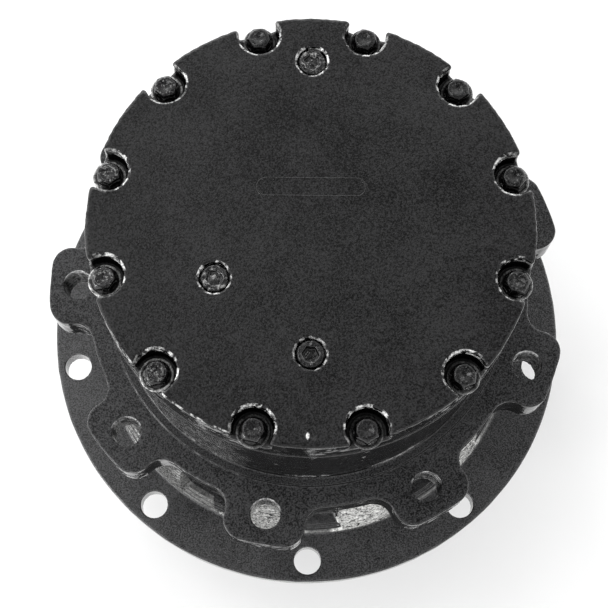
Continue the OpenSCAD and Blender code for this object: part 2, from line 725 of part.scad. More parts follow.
frame_housing();
end_cap();
end_cap_bolts();
end_cap_seal();
relief_valves();
spool_plugs();
spool_springs();
valve_spool();
port_plate();
eccentric_ring();
outer_rotor();
inner_rotor();
pressure_plate();
drive_shaft();
shaft_bearing_inner();
shaft_bearing_outer();
shaft_bearing_balls();
shaft_seal();
friction_discs();
brake_plates();
brake_piston();
piston_seals();
brake_springs();
brake_cap();
retaining_rings();
lower_inner_race();
upper_inner_race();
bearing_shim();
lower_outer_race();
upper_outer_race();
lower_cage();
lower_balls();
upper_cage();
upper_balls();
seal_ring_fixed();
toric_ring_fixed();
seal_ring_turning();
toric_ring_turning();
planet_carrier();
carrier_bolts();
output_pins();
output_planet_1();
output_planet_2();
output_planet_3();
output_sun();
input_carrier();
input_pins();
input_planet_1();
input_planet_2();
input_planet_3();
input_sun();
hub();
ring_gear();
ring_gear_pins();
cover();
cover_bolts();
cover_seal();
socket_plugs();
plug_seals();
thrust_pad();
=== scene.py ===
import json
import math
import time
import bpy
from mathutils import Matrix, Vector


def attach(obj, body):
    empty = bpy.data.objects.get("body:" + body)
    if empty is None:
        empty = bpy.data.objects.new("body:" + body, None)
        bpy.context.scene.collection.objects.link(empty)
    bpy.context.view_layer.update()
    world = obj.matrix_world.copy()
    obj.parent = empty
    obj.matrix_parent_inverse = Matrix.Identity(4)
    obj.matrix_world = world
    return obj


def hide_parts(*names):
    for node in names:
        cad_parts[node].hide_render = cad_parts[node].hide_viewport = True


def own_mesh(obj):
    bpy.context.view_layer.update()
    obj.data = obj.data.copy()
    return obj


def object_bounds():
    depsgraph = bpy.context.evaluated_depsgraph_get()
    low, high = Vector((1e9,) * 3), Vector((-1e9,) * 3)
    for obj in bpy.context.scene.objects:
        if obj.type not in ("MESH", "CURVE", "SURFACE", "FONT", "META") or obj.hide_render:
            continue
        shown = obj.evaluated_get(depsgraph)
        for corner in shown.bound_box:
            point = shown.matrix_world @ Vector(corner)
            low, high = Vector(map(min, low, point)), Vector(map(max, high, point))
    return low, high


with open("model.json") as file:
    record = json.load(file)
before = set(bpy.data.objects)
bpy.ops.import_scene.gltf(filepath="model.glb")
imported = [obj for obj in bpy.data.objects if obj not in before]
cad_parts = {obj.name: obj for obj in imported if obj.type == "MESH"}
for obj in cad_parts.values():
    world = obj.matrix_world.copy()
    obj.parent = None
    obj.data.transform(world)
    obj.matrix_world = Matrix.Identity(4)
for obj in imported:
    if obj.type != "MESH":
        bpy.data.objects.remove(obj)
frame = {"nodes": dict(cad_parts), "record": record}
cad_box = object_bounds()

from multiprocessing.pool import ThreadPool

import bpy
import numpy as np
from mathutils import Matrix, Vector

# Everything below is worked out in millimetres in the CAD frame, and turned
# into metres when a mesh is made.

began = time.time()
pool = ThreadPool(4)

# ---------------------------------------------------------------- camera

EL, ROLL, TURN = math.radians(74.76), math.radians(1.909), math.radians(-1.45)


def turned(v):
    c, s = math.cos(TURN), math.sin(TURN)
    return Vector((c * v[0] - s * v[1], s * v[0] + c * v[1], v[2]))


fwd = Vector((0, math.cos(EL), -math.sin(EL)))
right, up = Vector((1, 0, 0)), Vector((0, math.sin(EL), math.cos(EL)))
right2 = right * math.cos(ROLL) + up * math.sin(ROLL)
up2 = up * math.cos(ROLL) - right * math.sin(ROLL)
eye = -fwd * 950.3 + right * -2.427 + up * 16.182 + Vector((0, 0, 15))
cam_data = bpy.data.cameras.new("camera")
cam_data.sensor_width = 36.0
cam_data.lens = 1396 * 36 / 608
cam_data.clip_start, cam_data.clip_end = 0.05, 20
cam = bpy.data.objects.new("camera", cam_data)
bpy.context.scene.collection.objects.link(cam)
x_axis, y_axis, z_axis = turned(right2), turned(up2), turned(-fwd)
rot = Matrix((x_axis, y_axis, z_axis)).transposed().to_4x4()
cam.matrix_world = Matrix.Translation(turned(eye) * 0.001) @ rot
bpy.context.scene.camera = cam

# ------------------------------------------------- shapes from distances


def rmax(a, b, r):
    """Both solids at once, their shared edge rounded with radius r."""
    u, v = np.maximum(a + r, 0), np.maximum(b + r, 0)
    return np.minimum(-r, np.maximum(a, b)) + np.sqrt(u * u + v * v)


def rmin(a, b, r):
    """Either solid, with a fillet of radius r where they meet."""
    return -rmax(-a, -b, r)


def cut(a, b, r):
    return rmax(a, -b, r)


def smooth(x, lo, hi):
    t = np.clip((x - lo) / (hi - lo), 0, 1)
    return t * t * (3 - 2 * t)


def poly(pts, x, y):
    """Distance to a closed outline, negative inside."""
    best = np.full(x.shape, 1e9)
    inside = np.zeros(x.shape, bool)
    n = len(pts)
    for i in range(n):
        ax, ay = pts[i]
        bx, by = pts[i - 1]
        ex, ey = bx - ax, by - ay
        wx, wy = x - ax, y - ay
        t = np.clip((wx * ex + wy * ey) / (ex * ex + ey * ey), 0, 1)
        dx, dy = wx - ex * t, wy - ey * t
        best = np.minimum(best, dx * dx + dy * dy)
        cross = ex * wy - ey * wx
        up_ = (y >= ay) & (y < by) & (cross > 0)
        down = (y < ay) & (y >= by) & (cross < 0)
        inside ^= up_ | down
    d = np.sqrt(best)
    return np.where(inside, -d, d)


def rounded(pts, steps=6):
    """An outline whose corners (x, y, radius) are rounded."""
    out = []
    n = len(pts)
    for i in range(n):
        x, y, r = (*pts[i], 0)[:3]
        if not r:
            out.append((x, y))
            continue
        p, a, b = (np.array(q[:2], float) for q in (pts[i], pts[i - 1], pts[(i + 1) % n]))
        u, v = (a - p) / np.linalg.norm(a - p), (b - p) / np.linalg.norm(b - p)
        half = math.acos(np.clip(u @ v, -1, 1)) / 2
        reach = r / math.tan(half)
        c = p + (u + v) / np.linalg.norm(u + v) * r / math.sin(half)
        s, e = p + u * reach - c, p + v * reach - c
        a0 = math.atan2(s[1], s[0])
        da = (math.atan2(e[1], e[0]) - a0 + math.pi) % (2 * math.pi) - math.pi
        out += [(c[0] + r * math.cos(a0 + da * k / steps), c[1] + r * math.sin(a0 + da * k / steps)) for k in range(steps + 1)]
    return out


def fold(x, y, n, at):
    """(along, across) in the nearest of n directions, the first at `at` degrees."""
    step = 2 * math.pi / n
    r, a = np.hypot(x, y), np.arctan2(y, x) - math.radians(at)
    a = a - step * np.round(a / step)
    return r * np.cos(a), r * np.sin(a)


def lumps(x, y, z, s, seed=0):
    """Smooth noise from -1 to 1 with lumps s across."""
    q = [np.asarray(c, float) / s + 31.7 * (seed + 1) * k for c, k in ((x, 1), (y, 1.37), (z, 0.71))]
    i = [np.floor(c) for c in q]
    t = [c - b for c, b in zip(q, i)]
    t = [c * c * (3 - 2 * c) for c in t]
    i = [b.astype(np.int64) for b in i]
    out = 0
    for dx in (0, 1):
        for dy in (0, 1):
            for dz in (0, 1):
                h = ((i[0] + dx) * 73856093) ^ ((i[1] + dy) * 19349663) ^ ((i[2] + dz) * 83492791)
                h = (h ^ (h >> 13)) * 1274126177 & 0x7FFFFFFF
                h = (h ^ (h >> 15)) & 0xFFFF
                w = (t[0] if dx else 1 - t[0]) * (t[1] if dy else 1 - t[1]) * (t[2] if dz else 1 - t[2])
                out = out + w * (h / 32767.5 - 1)
    return out


CORNERS = np.array([(1, -1, -1), (-1, -1, 1), (-1, 1, -1), (1, 1, 1)], float)


def in_chunks(f, p, size=40000):
    return np.concatenate(pool.map(lambda k: f(*p[:, k:k + size]), range(0, p.shape[1], size)))


def slope(f, p, e):
    """Gradient from the four corners of a small tetrahedron."""
    return sum(k[:, None] * in_chunks(f, p + k[:, None] * e) for k in CORNERS) / (4 * e)


def only(where, f, *args):
    """f where the mask is true, 0 elsewhere."""
    out = np.zeros(where.shape)
    if where.any():
        out[where] = f(*(a[where] if isinstance(a, np.ndarray) else a for a in args))
    return out


def net(f, us, vs, ws, place, wrap=False, centre=False):
    """The surface f = 0 as points, normals and polygons, over a grid that place() puts in space. Flat level areas come out as large polygons."""
    us, vs, ws = (np.asarray(a, float) for a in (us, vs, ws))
    nu, nv, nw = len(us), len(vs), len(ws)
    B = 8
    starts = [np.arange(0, n - (0 if k == 1 and wrap else 1), B) for k, n in enumerate((nu, nv, nw))]
    vlong = np.append(vs, vs[0] + 2 * math.pi) if wrap else vs

    def mid(a, s):
        return (a[s] + a[np.minimum(s + B, len(a) - 1)]) / 2

    gu, gv, gw = np.meshgrid(mid(us, starts[0]), mid(vlong, starts[1]), mid(ws, starts[2]), indexing="ij")
    c = np.stack(place(gu.ravel(), gv.ravel(), gw.ravel()))
    far = np.zeros(c.shape[1])
    for du in (0, 1):
        for dv in (0, 1):
            for dw in (0, 1):
                corner = np.meshgrid(*(a[np.minimum(s + d * B, len(a) - 1)] for a, s, d in
                                       ((us, starts[0], du), (vlong, starts[1], dv), (ws, starts[2], dw))), indexing="ij")
                far = np.maximum(far, np.linalg.norm(np.stack(place(*(a.ravel() for a in corner))) - c, axis=0))
    fc = in_chunks(f, c)
    near = (np.abs(fc) < far * 1.05 + 0.7).reshape(gu.shape)
    grown = np.where(fc < 0, -1e3, 1e3).reshape(gu.shape)
    for k in range(3):
        grown = np.repeat(grown, B, axis=k)
    D = np.full((nu, nv, nw), 1e3, np.float32)
    m = [min(a, b) for a, b in zip(D.shape, grown.shape)]
    D[:m[0], :m[1], :m[2]] = grown[:m[0], :m[1], :m[2]]
    if m[0] < nu:
        D[m[0]:] = D[m[0] - 1:m[0]]
    if m[1] < nv:
        D[:, m[1]:] = D[:, m[1] - 1:m[1]]
    if m[2] < nw:
        D[:, :, m[2]:] = D[:, :, m[2] - 1:m[2]]
    M = np.zeros(D.shape, bool)
    for a, b, e in zip(*np.nonzero(near)):
        i, j, k = starts[0][a], starts[1][b], starts[2][e]
        js = np.arange(j, j + B + 1)
        js = js % nv if wrap else js[js < nv]
        M[i:i + B + 1, js[0]:js[0] + 1, k:k + B + 1] = True
        M[i:i + B + 1, js, k:k + B + 1] = True
    at = np.nonzero(M)
    D[at] = in_chunks(f, np.stack(place(us[at[0]], vs[at[1]], ws[at[2]])))
    S = D < 0
    if wrap:
        D, S = np.concatenate([D, D[:, :1]], 1), np.concatenate([S, S[:, :1]], 1)
    total = sum(S[a:S.shape[0] - 1 + a, b:S.shape[1] - 1 + b, e:S.shape[2] - 1 + e].astype(np.int8)
                for a in (0, 1) for b in (0, 1) for e in (0, 1))
    ci, cj, ck = np.nonzero((total > 0) & (total < 8))
    ids = np.full(total.shape, -1, np.int64)
    ids[ci, cj, ck] = np.arange(len(ci))
    corners = [(a, b, e) for a in (0, 1) for b in (0, 1) for e in (0, 1)]
    val = {q: D[ci + q[0], cj + q[1], ck + q[2]].astype(float) for q in corners}
    pos = {q: np.stack(place(us[ci + q[0]], vlong[cj + q[1]], ws[ck + q[2]])) for q in corners}
    acc, hits = np.zeros((3, len(ci))), np.zeros(len(ci))
    for q in corners:
        for k in range(3):
            if q[k]:
                continue
            o = tuple(1 if n == k else q[n] for n in range(3))
            a, b = val[q], val[o]
            x = (a < 0) != (b < 0)
            t = np.where(x, a / np.where(x, a - b, 1), 0)
            acc += np.where(x, pos[q] + (pos[o] - pos[q]) * t, 0)
            hits += x
    p = acc / hits
    size = np.linalg.norm(pos[(1, 1, 1)] - pos[(0, 0, 0)], axis=0)
    p0 = p.copy()
    g = slope(f, p, 0.05)
    for _ in range(3):
        p = p - in_chunks(f, p) / np.maximum((g * g).sum(0), 0.2) * g
        d = p - p0
        far = np.linalg.norm(d, axis=0)
        p = p0 + d * np.minimum(1, 0.55 * size / np.maximum(far, 1e-9))
    n = slope(f, p, 0.1)
    n /= np.maximum(np.linalg.norm(n, axis=0), 1e-9)
    level = np.abs(n[2]) > 0.99999

    cv = ids.shape[1]
    quads, merged = [], []
    for axis in range(3):
        if axis == 0:
            s0, s1 = S[:-1], S[1:]
        elif axis == 1:
            s0, s1 = S[:, :-1], S[:, 1:]
        else:
            s0, s1 = S[:, :, :-1], S[:, :, 1:]
        i, j, k = np.nonzero(s0 != s1)
        ok = np.ones(len(i), bool)
        if axis != 0:
            ok &= (i >= 1) & (i <= ids.shape[0] - 1)
        if axis != 1:
            ok &= (j < cv) if wrap else ((j >= 1) & (j <= cv - 1))
        if axis != 2:
            ok &= (k >= 1) & (k <= ids.shape[2] - 1)
        i, j, k = i[ok], j[ok], k[ok]
        jm = (j - 1) % cv
        if axis == 0:
            q = np.stack([ids[i, jm, k - 1], ids[i, j, k - 1], ids[i, j, k], ids[i, jm, k]])
        elif axis == 1:
            q = np.stack([ids[i - 1, j, k - 1], ids[i - 1, j, k], ids[i, j, k], ids[i, j, k - 1]])
        else:
            q = np.stack([ids[i - 1, jm, k], ids[i, jm, k], ids[i, j, k], ids[i - 1, j, k]])
        inward = ~s0[i, j, k]
        q = np.where(inward, q[::-1], q)
        keep = np.ones(q.shape[1], bool)
        if axis == 2:
            flat = level[q].all(0)
            for kk in np.unique(k[flat]):
                for sign in (False, True):
                    here = flat & (k == kk) & (inward == sign)
                    if here.sum() < 200:
                        continue
                    Q = np.full((ids.shape[0] + 1, cv), -1, np.int64)
                    Q[i[here], j[here]] = np.nonzero(here)[0]
                    nb = (Q.shape[0] - 1) // B, cv // B
                    blocks = Q[1:1 + nb[0] * B, :nb[1] * B].reshape(nb[0], B, nb[1], B)
                    full = (blocks >= 0).all((1, 3))
                    closed = bool(centre and full[0].all() and cv % B == 0)
                    for a, b in zip(*np.nonzero(full)):
                        i0, i1 = 1 + a * B, 1 + a * B + B - 1
                        j0, j1 = b * B, b * B + B - 1
                        keep[Q[i0:i1 + 1, j0:j1 + 1].ravel()] = False
                        lo_i = full[a - 1, b] if a else closed
                        hi_i = full[a + 1, b] if a + 1 < nb[0] else False
                        lo_j = full[a, b - 1] if b or (wrap and cv % B == 0) else False
                        hi_j = full[a, (b + 1) % nb[1]] if b + 1 < nb[1] or (wrap and cv % B == 0) else False
                        ring = [(i0 - 1, j0 - 1)]
                        ring += [] if lo_j else [(t, j0 - 1) for t in range(i0, i1)]
                        ring += [(i1, j0 - 1)]
                        ring += [] if hi_i else [(i1, t) for t in range(j0, j1)]
                        ring += [(i1, j1)]
                        ring += [] if hi_j else [(t, j1) for t in range(i1 - 1, i0 - 1, -1)]
                        ring += [(i0 - 1, j1)]
                        ring += [] if lo_i else [(i0 - 1, t) for t in range(j1 - 1, j0 - 1, -1)]
                        loop = [ids[s, t % cv, kk] for s, t in ring]
                        merged.append(loop[::-1] if sign else loop)
                    if closed:
                        loop = [ids[0, (b * B - 1) % cv, kk] for b in range(nb[1])]
                        merged.append(loop[::-1] if sign else loop)
            if centre:
                for kk in range(ids.shape[2]):
                    ring = ids[0, :, kk]
                    if (ring >= 0).all():
                        m_here = (k == kk) & (i == 1)
                        if not m_here.any() or not keep[m_here].all():
                            continue
                        loop = list(ring)
                        merged.append(loop[::-1] if inward[m_here][0] else loop)
        quads.append(q[:, keep].T)
    return p, n, np.concatenate(quads), merged


def polar(r, a, z):
    return r * np.cos(a), r * np.sin(a), z


def square_grid(x, y, z):
    return x, y, z


def steps(*runs):
    """Grid positions: (from, to, step) one after another."""
    out = []
    for a, b, s in runs:
        n = max(1, round((b - a) / s))
        out += [a + (b - a) * k / n for k in range(n)]
    return np.array(out + [runs[-1][1]])


TURNS = np.arange(720) * 2 * math.pi / 720


def made(name, parts, material, body, slot, *nodes):
    """One mesh object from (points in mm, normals, quads, polygons), riding on its body in place of CAD nodes."""
    points, normals, loops, totals, base = [], [], [], [], 0
    for p, n, quads, more in parts:
        used = np.zeros(p.shape[1], bool)
        used[quads.ravel()] = True
        for m in more:
            used[m] = True
        new = np.cumsum(used) - 1
        points.append(p[:, used].T)
        normals.append(n[:, used].T)
        loops.append(new[quads.ravel()] + base)
        totals += [4] * len(quads)
        for m in more:
            loops.append(new[np.array(m)] + base)
            totals.append(len(m))
        base += int(used.sum())
    points, normals = np.concatenate(points) * 0.001, np.concatenate(normals)
    loops, totals = np.concatenate(loops), np.array(totals)
    mesh = bpy.data.meshes.new(name)
    mesh.vertices.add(len(points))
    mesh.vertices.foreach_set("co", points.astype(np.float32).ravel())
    mesh.loops.add(len(loops))
    mesh.loops.foreach_set("vertex_index", loops.astype(np.int32))
    mesh.polygons.add(len(totals))
    mesh.polygons.foreach_set("loop_start", (np.cumsum(totals) - totals).astype(np.int32))
    mesh.polygons.foreach_set("use_smooth", np.ones(len(totals), bool))
    mesh.update(calc_edges=True)
    mesh.validate()
    if len(mesh.vertices) == len(normals):
        mesh.normals_split_custom_set_from_vertices(normals.tolist())
    mesh.materials.append(material)
    o = bpy.data.objects.new(name, mesh)
    bpy.context.scene.collection.objects.link(o)
    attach(o, body)
    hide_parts(*nodes)
    print(name, "points", len(points), "faces", len(totals), round(time.time() - began, 1))
    return o


# ---------------------------------------------------------------- cover

BOLT_R, N_BOLTS = 112.6, 12
PLUGS = [(93.4, 90.0), (58.6, 210.6), (70.1, 270.0)]
PLUG_AT = [(r * math.cos(math.radians(a)), r * math.sin(math.radians(a))) for r, a in PLUGS]
COVER = rounded([(-10, 226), (95, 226, 1.5), (95, 206), (103.85, 206), (103.85, 207), (101.2, 207), (101.2, 210),
                 (103.85, 210), (103.85, 211), (119.25, 211, 1.1), (119.25, 237.9, 2.0), (-10, 237.9)])


def cover_rim(x, y, z, r):
    rough = 0.22 * lumps(x, y, z, 6.5, 1) * smooth(r, 114, 118.5) + 0.14 * lumps(x, y, z, 2.6, 2) * smooth(r, 116, 118.8)
    return rough * smooth(z, 213, 216) + 0.2 * lumps(x, y, z, 1.9, 4) * smooth(r, 117, 119) * smooth(z, 234.5, 237)


def nick(x, y, z):
    """A small raised burr beside a dent near the front edge; what it adds to the distance."""
    u, v = x + 0.4 + 0.35 * (y + 113), y + 113
    return 0.9 * np.exp(-((u - 1.5) / 1.2) ** 2 - (v / 2) ** 2) - 0.3 * np.exp(-((u + 0.6) / 1.2) ** 2 - (v / 2.6) ** 2)


def f_cover(x, y, z):
    r = np.hypot(x, y)
    d = poly(COVER, r, z) + only(r > 114, cover_rim, x, y, z, r)
    u, v = fold(x, y, N_BOLTS, 15)
    p = rmax(np.hypot(u - BOLT_R, v) - 11.15 - only(r > 98, lumps, x, y, z, 3.2, 3) * 0.16, 225 - z, 1.6)
    d = cut(d, p, 1.55 + 1.3 * smooth(r, 115, 118))
    d = cut(d, np.hypot(u - BOLT_R, v) - 4.4, 0.3)
    for px, py in PLUG_AT:
        q = np.hypot(x - px, y - py)
        d = cut(d, rmax(q - 8.2 - only(q < 14, lumps, x, y, z, 2.4, 5) * 0.22, 229.4 - z, 0.6), 1.2)
        d = cut(d, rmax(q - 6, 216.5 - z, 0.2), 0.2)
    d = d + only((np.abs(x + 1) < 6) & (np.abs(y + 113) < 6), nick, x, y, z)
    return cut(d, rmax(r - 15.05, z - 228, 0.2), 0.2)


cover_net = net(f_cover, steps((0, 45, 5), (45, 100, 1.15), (100, 122, 0.85)), TURNS,
                steps((204, 209.4, 0.9), (209.4, 213, 0.45), (213, 223, 1.3), (223, 233, 1.0), (233, 239.4, 0.7)), polar, wrap=True, centre=True)

# ------------------------------------------------------------------ hub

LOBE_TIP, LOBE_BASE, LOBE_R, VALLEY = 157.8, 134.3, 12.0, math.radians(14.2)
lc, lf = LOBE_TIP - LOBE_R, LOBE_BASE + LOBE_R
between = math.acos((lc * lc + lf * lf - 4 * LOBE_R * LOBE_R) / (2 * lc * lf))
corner = VALLEY - between
cc = np.array([lc * math.cos(corner), lc * math.sin(corner)])
cf = np.array([lf * math.cos(VALLEY), lf * math.sin(VALLEY)])
join = math.atan2(*(cf - cc)[::-1])
half_lobe = [(LOBE_TIP * math.cos(corner * k / 4), LOBE_TIP * math.sin(corner * k / 4)) for k in range(4)]
half_lobe += [tuple(cc + LOBE_R * np.array([math.cos(a), math.sin(a)])) for a in np.linspace(corner, join, 13)]
half_lobe += [tuple(cf + LOBE_R * np.array([math.cos(a), math.sin(a)])) for a in np.linspace(join + math.pi, VALLEY + math.pi, 13)[1:]]
half_lobe += [(LOBE_BASE * math.cos(a), LOBE_BASE * math.sin(a)) for a in np.linspace(VALLEY, math.radians(20), 4)[1:]]
mirror = []
for hx, hy in reversed(half_lobe[:-1]):
    hr, ha = math.hypot(hx, hy), math.radians(40) - math.atan2(hy, hx)
    if ha < math.radians(28):
        mirror.append((hr * math.cos(ha), hr * math.sin(ha)))
upper_half = half_lobe + mirror
LOBE = [(0.0, 0.0)] + [(hx, -hy) for hx, hy in reversed(upper_half[1:])] + upper_half
HUB_OUT = rounded([(-10, 60.5), (120.5, 60.5, 1.5), (120.5, 103), (116.5, 103), (116.5, 118), (118.3, 204.5, 1.5), (119.6, 206.5, 1.0),
                   (119.6, 211, 0.9), (-10, 211)])
HUB_IN = [(-10, 50), (113, 50), (113, 77), (95, 77), (95, 100), (90, 100), (90, 108), (95, 108), (95, 141),
          (104, 141), (104, 220), (-10, 220)]


def lobed(u, v, x, y, z):
    return poly(LOBE, u, np.abs(v)) + 0.18 * lumps(x, y, z, 7, 11) + 0.12 * lumps(x, y, z, 2.8, 12)


def cast_wall(x, y, z):
    rough = 0.2 * lumps(x, y, z, 6, 13) + 0.12 * lumps(x, y, z, 2.4, 14)
    return rough * smooth(z, 119.5, 123) * smooth(-z, -206, -202)


def f_hub(x, y, z):
    r = np.hypot(x, y)
    u, v = fold(x, y, 9, 20)
    out = (r > 127) & (z > 84) & (z < 122)
    lobe = np.where(r > 127, 0, r - 134.3) + only(out, lobed, u, v, x, y, z) + np.where((r > 127) & ~out, r - 161, 0)
    plate = rmax(lobe, np.abs(z - 103.2) - 13, 1.4)
    wall = poly(HUB_OUT, r, z) + only((r > 112) & (r < 125) & (z > 119), cast_wall, x, y, z)
    ring = rmax(r - 121.9, z - 117.4, 0.5)
    d = rmin(rmin(plate, ring, 0.8), wall, 1.6)
    d = cut(d, poly(HUB_IN, r, z), 0.7)
    d = cut(d, np.hypot(u - 140.4, v) - 8.75, 0.4)
    u, v = fold(x, y, N_BOLTS, 15)
    return cut(d, rmax(np.hypot(u - BOLT_R, v) - 4.05, 193 - z, 0.2), 0.2)


hub_net = net(f_hub, steps((88, 101, 2.2), (101, 114, 1.6), (114, 125, 0.7), (125, 161.2, 1.3)), TURNS,
              steps((59, 63, 0.9), (63, 86, 4), (86, 97, 1.0), (97, 109, 3), (109, 123, 0.7), (123, 203, 1.4), (203, 208.5, 0.8), (208.5, 212, 0.4)),
              polar, wrap=True)

# ------------------------------------------------------- frame housing

HOUSING = rounded([(72, -58), (97, -58, 0.6), (98, -57), (100, -10, 3), (119, -10, 0.8), (120, 0), (170, 0, 1.0), (170, 15, 1.5),
                   (138.5, 15, 2.0), (131.5, 87, 2.5), (122.5, 87, 0.8), (122.5, 58), (113, 58), (113, 40), (88, 40), (88, 80),
                   (75, 80), (75, 130, 0.5), (62, 130, 0.5), (62, 68.5), (63.5, 68.5), (63.5, 66.2), (62, 66.2), (62, 40), (58, 40),
                   (58, 11), (36, 11), (36, -18), (30, -18), (30, -20), (72, -20)], 4)
POCKET = rounded([(125.5, 21, 2.5), (134, 21, 0.8), (134, 19, 0.5), (136.3, 19, 0.8), (136.3, 17, 0.6), (165, 17), (165, 100), (125.5, 100)], 4)


def rough_cast(x, y, z, r):
    return (0.32 * lumps(x, y, z, 4.6, 21) + 0.28 * lumps(x, y, z, 2.3, 22)) * smooth(z, 16, 19) * smooth(r, 119, 124)


def frame_rim(x, y, z, r):
    return 0.16 * lumps(x, y, z, 7, 23) * smooth(r, 164, 169)


def f_housing(x, y, z):
    r = np.hypot(x, y)
    cast = only((r > 119) & (r < 145) & (z > 16), rough_cast, x, y, z, r)
    d = poly(HOUSING, r, z) + cast + only(r > 164, frame_rim, x, y, z, r)
    u, v = fold(x, y, 12, 241.75)
    side = (np.abs(v) - 18.0) * math.cos(math.radians(20)) - (u - 133) * math.sin(math.radians(20))
    d = cut(d, rmax(side, poly(POCKET, r, z), 2.5) - 0.5 * cast, 1.1)
    u, v = fold(x, y, 9, 270.5)
    d = cut(d, np.hypot(u - 156.5, v) - 8.75, 0.4)
    a = math.radians(22.5)
    across, along = y * math.cos(a) - x * math.sin(a), x * math.cos(a) + y * math.sin(a)
    return cut(d, rmax(np.hypot(across, z + 27) - 4.3, 86 - along, 0.3), 0.4)


housing_net = net(f_housing, steps((28, 64, 1.8), (64, 76, 1.4), (76, 119, 3), (119, 142, 1.1), (142, 171.6, 1.25)), TURNS,
                  steps((-59.5, -55, 1.2), (-55, -35, 4), (-35, -12, 1.6), (-12, 3, 1.0), (3, 12, 2), (12, 24, 0.8), (24, 64, 2.5), (64, 72, 1),
                        (72, 82, 2), (82, 90, 1.0), (90, 125, 5), (125, 132, 1)), polar, wrap=True)

# ----------------------------------------------------- bolts and plugs

BOLT = rounded([(-5, 0), (9.0, 0, 0.35), (9.0, 1.9, 0.6), (8.0, 1.9, 0.3), (7.4, 1.3, 0.3), (6.8, 2.3, 0.3), (-5, 2.3)], 4)


def f_bolt(x, y, z):
    r = np.hypot(x, y)
    hexa = np.maximum(np.abs(x), np.maximum(np.abs(x * 0.5 + y * 0.8660254), np.abs(x * 0.5 - y * 0.8660254))) - 5.95
    head = rmax(rmax(hexa, z - 8.9, 0.55), (r - 5.2 - (8.9 - z) * 1.15) * 0.656, 0.5)
    head = rmax(head, 1 - z, 0.1)
    head = cut(head, np.sqrt(r * r + (z - 15.6) ** 2) - 7.35, 0.5)
    return rmin(poly(BOLT, r, z), head, 0.7) + 0.05 * lumps(x, y, z, 1.6, 31)


g = steps((-9.8, 9.8, 0.52))
bolt_net = net(f_bolt, g, g, steps((-0.6, 2.8, 0.4), (2.8, 9.8, 0.55)), square_grid)


def copies(one, at):
    """Copies of a net, each at (x, y, z, turn in radians)."""
    out = []
    p, n, q, m = one
    for x, y, z, a in at:
        c, s = math.cos(a), math.sin(a)
        turn = np.array([[c, -s, 0], [s, c, 0], [0, 0, 1]])
        out.append((turn @ p + np.array([[x], [y], [z]]), turn @ n, q, m))
    return out


def bead():
    """The raised outline of the bare slot, a closed bead half sunk in the cover's top."""
    turns = [math.radians(90 - 6 * k) for k in range(31)] + [math.radians(-90 - 6 * k) for k in range(31)]
    ends = [23.9] * 31 + [-23.9] * 31
    around = [math.radians(30 * j) for j in range(12)]
    p, n = [], []
    for k, (a, x) in enumerate(zip(turns, ends)):
        high = 0.5 + 0.05 * math.sin(2.3 * k)
        for b in around:
            u, w = math.cos(b), math.sin(b)
            p.append((x + (5 + 0.7 * u) * math.cos(a), 20.5 + (5 + 0.7 * u) * math.sin(a), 237.6 + high * w))
            n.append((u * math.cos(a), u * math.sin(a), w))
    quads = [(12 * i + j, 12 * i + (j + 1) % 12, 12 * ((i + 1) % 62) + (j + 1) % 12, 12 * ((i + 1) % 62) + j) for i in range(62) for j in range(12)]
    return np.array(p).T, np.array(n).T, np.array(quads), []


BOLT_TURNS = [21, 8, 12, 33, 47, 5, 24, 41, 17, 2, 52, 29]
bolt_at = [(BOLT_R * math.cos(math.radians(15 + 30 * k)), BOLT_R * math.sin(math.radians(15 + 30 * k)), 225, math.radians(BOLT_TURNS[k]))
           for k in range(12)]

PLUG = rounded([(-5, 230.0), (7.5, 230.0), (7.5, 236.6, 1.3), (-5, 236.6)], 4)


def plug(fill, blob):
    """A socket plug whose socket is filled with paint up to z = fill, with a blob of it blob high in the middle."""

    def f(x, y, z):
        r = np.hypot(x, y)
        hexa = np.maximum(np.abs(x), np.maximum(np.abs(x * 0.5 + y * 0.8660254), np.abs(x * 0.5 - y * 0.8660254))) - 3.9
        floor_z = fill + blob * (1 - smooth(r, 0, 3.6)) + 0.3 * lumps(x, y, 0 * z, 1.5, 34)
        d = cut(poly(PLUG, r, z), rmax(hexa, floor_z - z, 0.7), 0.8)
        return np.minimum(d, rmax(r - 5.9, np.abs(z - 224) - 6.2, 0.4)) + 0.2 * lumps(x, y, z, 1.5, 33) * smooth(z, 230, 231)

    return f


g = steps((-8.2, 8.2, 0.5))
h = steps((217, 229, 2), (229, 237.8, 0.45))
plug_nets = [net(plug(fill, blob), g, g, h, square_grid) for fill, blob in ((234.6, 0.6), (234.8, 1.3), (232.9, 0.3))]
plug_at = [(*PLUG_AT[0], 0, 0.2), (*PLUG_AT[1], 0, 0.75), (*PLUG_AT[2], 0, 0.45)]

# ------------------------------------------------------------ materials


def material(name):
    m = bpy.data.materials.new(name)
    m.use_nodes = True
    nt = m.node_tree
    bsdf = nt.nodes["Principled BSDF"]
    co = nt.nodes.new("ShaderNodeTexCoord")
    return m, nt, bsdf, co.outputs["Object"]


def noise_node(nt, co, scale, detail=3.0, rough=0.55, kind="ShaderNodeTexNoise"):
    n = nt.nodes.new(kind)
    n.inputs["Scale"].default_value = scale
    if kind == "ShaderNodeTexNoise":
        n.inputs["Detail"].default_value = detail
        n.inputs["Roughness"].default_value = rough
    nt.links.new(co, n.inputs["Vector"])
    return n


def ranged(nt, value, lo, hi, a, b):
    n = nt.nodes.new("ShaderNodeMapRange")
    for k, v in zip(("From Min", "From Max", "To Min", "To Max"), (lo, hi, a, b)):
        n.inputs[k].default_value = v
    nt.links.new(value, n.inputs["Value"])
    return n.outputs["Result"]


def ramp(nt, value, stops):
    n = nt.nodes.new("ShaderNodeValToRGB")
    el = n.color_ramp.elements
    while len(el) < len(stops):
        el.new(0.5)
    for e, (at, c) in zip(el, stops):
        e.position = at
        e.color = (*c, 1)
    nt.links.new(value, n.inputs["Fac"])
    return n.outputs["Color"]


